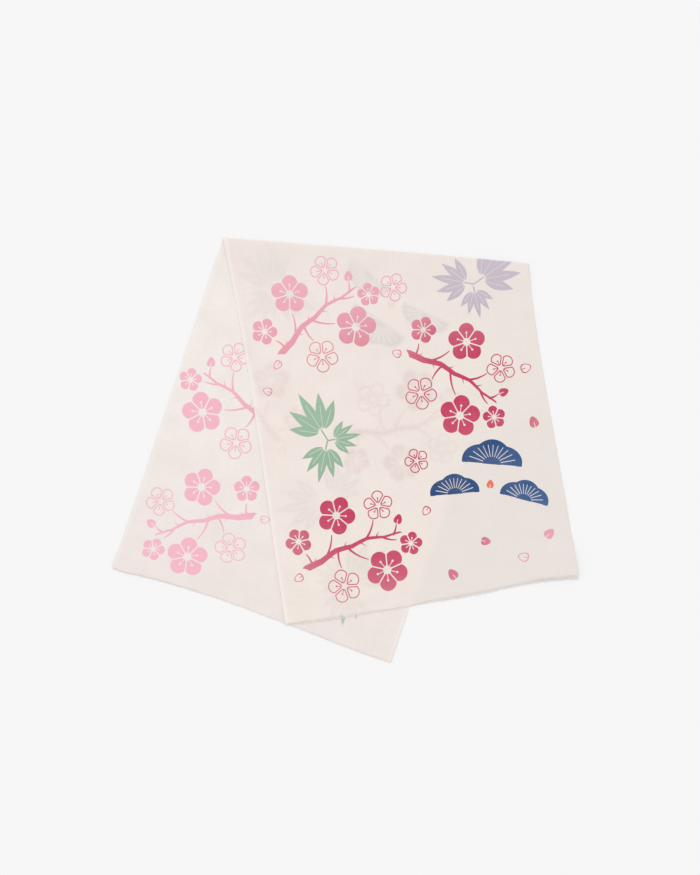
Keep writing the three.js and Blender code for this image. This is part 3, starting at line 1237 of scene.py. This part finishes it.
@dataclass(frozen=True)
class FrayedEnds:
    """The raw ends: warp threads left bare where the outermost weft has come away."""

    lay: LaidCloth
    least_depth: float = 0.6
    ragged: float = 0.4  # how unevenly the weave ends
    ragged_runs: tuple[float, float] = (3.7, 11)  # of the two waves that make it so
    pitch: float = 0.5  # from thread to thread
    half_width: float = 0.31  # of a thread, lying flat
    half_height: float = 0.05
    tip_share: float = 0.6  # of its thickness, left at its tip
    root: float = 1.2  # of each thread, inside the weave
    spacing_jitter: float = 0.3  # as a share of the pitch
    jitter: float = 0.5  # how unevenly the threads were cut
    lean: float = 0.6  # sideways, at the tip
    lean_run: float = 9  # over which neighbours lean alike
    stray_share: float = 0.03  # of threads that stick out further
    stray: float = 2.2
    rings: int = 5
    sides: int = 4
    seed: int = 5

    def depth(self, end: CutEnd, across: Array) -> Array:
        """How far the weave has come away: the least depth, humps for the stretches and a small wave."""
        share = across / self.lay.cut.width + MIDDLE
        rows = [row for row in FRINGE_STRETCHES if row.end is end]
        humps = sum(r.depth * hump((share - r.start) / (r.stop - r.start)) for r in rows)
        short, long = self.ragged_runs
        uneven = self.ragged * np.sin(across / short) * np.sin(across / long + end.value)
        return self.least_depth + humps + uneven

    def from_end(self, across: Array, along: Array) -> Array:
        """Distance of places from the nearer end of the weave."""
        front = along - self.depth(CutEnd.FRONT, across)
        back = self.lay.cut.length - self.depth(CutEnd.BACK, across) - along
        return np.minimum(front, back)

    def paths(self, end: CutEnd, draw: np.random.Generator) -> tuple[Array, Array]:
        """Each thread's run over the cut length: straight out from its root, swaying as it nears its tip.

        Args:
            end: The end that the threads are at.
            draw: Where the threads' unevenness is drawn from.

        Returns:
            Places across and along, by thread and ring.
        """
        cut = self.lay.cut
        count = int(cut.width / self.pitch) - 1
        even = np.linspace(self.pitch - cut.half_width, cut.half_width - self.pitch, count)
        start = even + draw.uniform(-self.spacing_jitter, self.spacing_jitter, count) * self.pitch
        sway = draw.normal(0, self.lean, count) + self.lean * np.sin(even / self.lean_run)
        tip = draw.normal(0, self.jitter, count)
        tip = tip - self.stray * draw.random(count) * (draw.random(count) < self.stray_share)
        root = self.depth(end, start) + self.root
        step = np.linspace(0, 1, self.rings)
        inward = root[:, None] + (tip - root)[:, None] * step
        across = start[:, None] + sway[:, None] * step**2
        return across, inward if end is CutEnd.FRONT else cut.length - inward

    def tubes(self, middle: Array) -> Array:
        """Rings of points round each thread's run: flattened circles, smaller at the tip.

        Args:
            middle: The run of each thread, by thread and ring.

        Returns:
            Points by thread, ring and side.
        """
        along = np.gradient(middle, axis=1)
        along = along / np.linalg.norm(along, axis=-1, keepdims=True)
        level = np.cross(along, (0.0, 0.0, 1.0))
        level = level / np.linalg.norm(level, axis=-1, keepdims=True)
        upright = np.cross(level, along)
        angle = np.arange(self.sides) * FULL_TURN / self.sides
        thinner = np.linspace(1, self.tip_share, self.rings)[None, :, None, None]
        sideways = self.half_width * np.cos(angle)[:, None] * level[:, :, None]
        upwards = self.half_height * np.sin(angle)[:, None] * upright[:, :, None]
        return middle[:, :, None] + thinner * (sideways + upwards)

    def faces(self, threads: int) -> Array:
        """Quads round every tube and over its two ends, four-sided so that one quad closes each end."""
        ring = np.arange(threads * self.rings * self.sides).reshape(threads, self.rings, self.sides)
        after = np.roll(ring, -1, axis=2)
        walls = np.stack([ring[:, :-1], ring[:, 1:], after[:, 1:], after[:, :-1]], axis=-1)
        return np.concatenate([walls.reshape(-1, 4), ring[:, 0], ring[:, -1, ::-1]])

    def build(self, material: bpy.types.Material) -> bpy.types.Object:
        """Makes the threads of both ends as one piece.

        Args:
            material: The cloth's own finish.

        Returns:
            The frayed ends.
        """
        draw = np.random.default_rng(self.seed)
        runs = [self.paths(end, draw) for end in CutEnd]
        across = np.concatenate([run[0] for run in runs])
        along = np.concatenate([run[1] for run in runs])
        middle = self.lay.surface(across, along)
        points = self.tubes(middle).reshape(-1, 3)
        threads = new_piece("frayed_ends", points, self.faces(len(across)), material, smooth=False)
        self.lay.write_places(threads.data, *(np.repeat(x.ravel(), self.sides) for x in (across, along)))
        return threads


@dataclass(frozen=True)
class TenuguiCloth:
    """The towel's one length of cloth: a closed thin sheet on the fold, with the print dyed through it."""

    lay: LaidCloth
    fray: FrayedEnds
    columns: int = 112
    front_rows: int = 122
    settle_rows: int = 14
    roll_rows: int = 12
    back_rows: int = 144
    lip_rows: int = 9  # in the stretch next to each cut end
    lip: float = 12
    rim_step: float = 0.15  # the first row or column in from an edge
    rim_run: float = 0.5  # where the sheet has its full thickness
    rim_share: float = 0.55  # of the thickness, left at the rim
    selvedge_cord: float = 0.4  # how much thicker the selvedge is, as a share
    cord_start: float = 1.2  # where it starts to thin down
    cord_stop: float = 2.4
    even_start: float = 4.2  # where the columns become even

    def grid(self) -> tuple[Array, Array]:
        """Places on the cut length for the sheet's points: columns across it, and rows along each column.

        Rows are even in each stretch: the rim and lip of the front end, the upper layer, where that
        settles, the roll, the lower layer, and the back end's lip and rim.

        Returns:
            Places across and along, by column and row.
        """
        cut, fold = self.lay.cut, self.lay.fold
        inset = np.array([0, self.rim_step, self.rim_run, self.cord_start, self.cord_stop])
        even = cut.half_width - self.even_start
        inner = np.linspace(-even, even, self.columns)
        columns = np.concatenate([inset - cut.half_width, inner, cut.half_width - inset[::-1]])
        at_fold = fold.along_at(columns)
        roll, settle = fold.half_roll / fold.cos, (fold.half_roll + fold.settle) / fold.cos
        front = self.fray.depth(CutEnd.FRONT, columns)
        back = cut.length - self.fray.depth(CutEnd.BACK, columns)
        stops = (
            (front, 1),
            (front + self.rim_step, 1),
            (front + self.rim_run, self.lip_rows),
            (front + self.lip, self.front_rows),
            (at_fold - settle, self.settle_rows),
            (at_fold - roll, self.roll_rows),
            (at_fold + roll, self.back_rows),
            (back - self.lip, self.lip_rows),
            (back - self.rim_run, 1),
            (back - self.rim_step, 1),
            (back, 0),
        )
        rows = [
            start[:, None] + (stop - start)[:, None] * np.arange(count) / count
            for (start, count), (stop, _) in zip(stops, stops[1:])
        ]
        along = np.concatenate([*rows, stops[-1][0][:, None]], axis=1)
        return np.broadcast_to(columns[:, None], along.shape), along

    def sides(self, across: Array, along: Array) -> tuple[Array, Array]:
        """The sheet's two sides: its middle, moved half the thickness each way along its normal.

        The normal is the step across turned against the step along. The thickness falls off at the rim.

        Args:
            across: Places across the cut length.
            along: Places along it.

        Returns:
            The face, which is upwards on the upper layer, and the back.
        """
        cut = self.lay.cut
        middle = self.lay.surface(across, along)
        normal = np.cross(np.gradient(middle, axis=0), np.gradient(middle, axis=1))
        normal = normal / np.linalg.norm(normal, axis=-1, keepdims=True)
        from_selvedge = cut.half_width - np.abs(across)
        from_rim = np.minimum(from_selvedge, self.fray.from_end(across, along))
        full = self.rim_share + (1 - self.rim_share) * smoothstep(from_rim, 0, self.rim_run)
        cord = self.selvedge_cord * (1 - smoothstep(from_selvedge, self.cord_start, self.cord_stop))
        half = (cut.thickness * MIDDLE * full * (1 + cord))[..., None]
        return middle + normal * half, middle - normal * half

    @staticmethod
    def faces(columns: int, rows: int) -> Array:
        """Quads for a closed sheet: its face, its back turned over, and the rim between them.

        Args:
            columns: Points across.
            rows: Points along.

        Returns:
            The vertices of each quad, the face's numbered first and then the back's.
        """
        face = np.arange(columns * rows).reshape(columns, rows)
        corners = np.stack([face[:-1, :-1], face[1:, :-1], face[1:, 1:], face[:-1, 1:]], axis=-1)
        corners = corners.reshape(-1, 4)
        back = face.size
        border = np.concatenate([face[:, 0], face[-1, 1:], face[-2::-1, -1], face[0, -2:0:-1]])
        after = np.roll(border, -1)
        rim = np.stack([after, border, border + back, after + back], axis=-1)
        return np.concatenate([corners, corners[:, ::-1] + back, rim])

    def build(self, material: bpy.types.Material) -> bpy.types.Object:
        """Makes the cloth, prints it and puts it in the place of its solid.

        Args:
            material: What it is made of.

        Returns:
            The cloth.
        """
        across, along = self.grid()
        face, back = self.sides(across, along)
        faces = self.faces(*across.shape)
        points = np.concatenate([face.reshape(-1, 3), back.reshape(-1, 3)])
        cloth = new_piece("folded_cloth", points, faces, material, smooth=True)
        places = np.tile(across.ravel(), 2), np.tile(along.ravel(), 2)
        self.lay.write_places(cloth.data, *places)
        StencilPrint(self.lay).write(cloth.data, faces, *places)
        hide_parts(CLOTH_NODE)
        return cloth


@dataclass(frozen=True)
class Studio:
    """A pale floor, an even sky with a soft sun, and a camera straight above."""

    floor_half: float = 6.0  # metres
    floor_colour: float = 0.86
    sky: tuple[float, float, float, float] = (0.762, 0.760, 0.768, 1.0)
    sun_strength: float = 1.12
    sun_colour: Colour = (1.0, 1.0, 0.98)
    sun_height: float = math.radians(64)
    sun_from_left: float = math.radians(22)  # of straight behind the fold
    sun_softness: float = math.radians(9)
    aim: tuple[float, float] = (5.7 * MM, 15.7 * MM)  # the middle of the picture, on the floor
    frame_height: float = 1061.6 * MM
    lens: float = 100  # on the camera's own sensor, both in millimetres
    sensor: float = 36

    def floor(self) -> None:
        """Lays the floor."""
        material = bpy.data.materials.new("studio_floor")
        wiring = Wiring(material)
        pale = (self.floor_colour,) * 3 + (1.0,)
        paint = wiring.node("ShaderNodeBsdfDiffuse", {}, {"Color": pale})
        wiring.node("ShaderNodeOutputMaterial", {}, {"Surface": paint.outputs[0]})
        half = self.floor_half
        corners = [(-half, -half, 0), (half, -half, 0), (half, half, 0), (-half, half, 0)]
        mesh = bpy.data.meshes.new("studio_floor")
        mesh.from_pydata(corners, [], [(0, 1, 2, 3)])
        mesh.materials.append(material)
        floor = bpy.data.objects.new("studio_floor", mesh)
        bpy.context.collection.objects.link(floor)
        floor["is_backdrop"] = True

    def light(self) -> None:
        """Sets the sky and the sun."""
        world = bpy.data.worlds.new("studio_sky")
        world.use_nodes = True
        world.node_tree.nodes["Background"].inputs["Color"].default_value = self.sky
        bpy.context.scene.world = world
        sun = bpy.data.lights.new("studio_sun", "SUN")
        sun.energy = self.sun_strength
        sun.color = self.sun_colour
        sun.angle = self.sun_softness
        lamp = bpy.data.objects.new("studio_sun", sun)
        level = math.cos(self.sun_height)
        aside, behind = -math.sin(self.sun_from_left) * level, math.cos(self.sun_from_left) * level
        towards_sun = Vector((aside, behind, math.sin(self.sun_height)))
        lamp.rotation_euler = towards_sun.to_track_quat("Z", "Y").to_euler()
        bpy.context.collection.objects.link(lamp)

    def camera(self) -> None:
        """Hangs the camera over the towel and shows screen colours plainly."""
        data = bpy.data.cameras.new("overhead_camera")
        data.lens = self.lens
        data.sensor_width = self.sensor
        camera = bpy.data.objects.new("overhead_camera", data)
        camera.location = (*self.aim, self.frame_height * self.lens / self.sensor)
        bpy.context.collection.objects.link(camera)
        bpy.context.scene.camera = camera
        bpy.context.scene.view_settings.view_transform = "Standard"


def write_sizes() -> None:
    """Turns the solids' box and the dressed model's box into plain lists."""
    boxes = {"cad": CAD_BOX, "visual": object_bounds()}
    lists = {name: [list(corner) for corner in corners] for name, corners in boxes.items()}


def main() -> None:
    """Builds the studio and the towel."""
    logging.basicConfig(level=logging.INFO, format="%(message)s")
    studio = Studio()
    studio.camera()
    studio.floor()
    studio.light()
    lay = LaidCloth()
    fray = FrayedEnds(lay)
    cotton = DyedCotton().material()
    cloth = TenuguiCloth(lay, fray).build(cotton)
    threads = fray.build(cotton)
    flat = (lay.cut.width * MM, lay.cut.length * MM)
    write_sizes()


if __name__ == "__main__":
    main()
